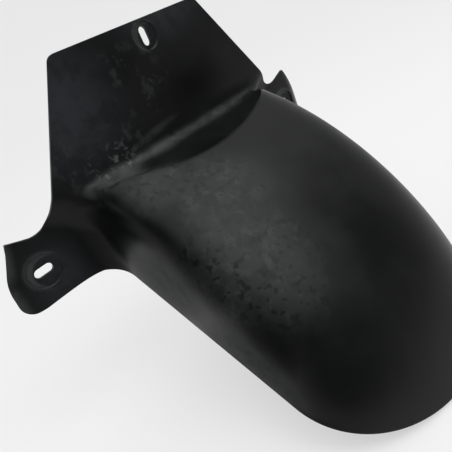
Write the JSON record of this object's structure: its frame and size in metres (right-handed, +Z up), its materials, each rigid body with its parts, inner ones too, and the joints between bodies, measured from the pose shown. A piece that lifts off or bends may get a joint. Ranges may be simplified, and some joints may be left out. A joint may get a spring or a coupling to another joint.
{
  "type": "motorcycle mudguard",
  "caption": "Moulded mudguard shell: an upright fixing panel with slotted ears blends through a straight fold into a domed hood that follows the wheel.",
  "frame": {"origin": "midway between the two ear slots, level with the floor of their seats", "axes": "X across the part, Z up the face of the fixing panel, -Y out of the panel's face, the way the hood points"},
  "size_m": [0.3366, 0.2204, 0.2635],
  "materials": {
    "black_plastic": "semi-gloss moulded black, worn and dusty"
  },
  "bodies": {
    "root": {"mudguard": "black_plastic"}
  },
  "joints": []
}
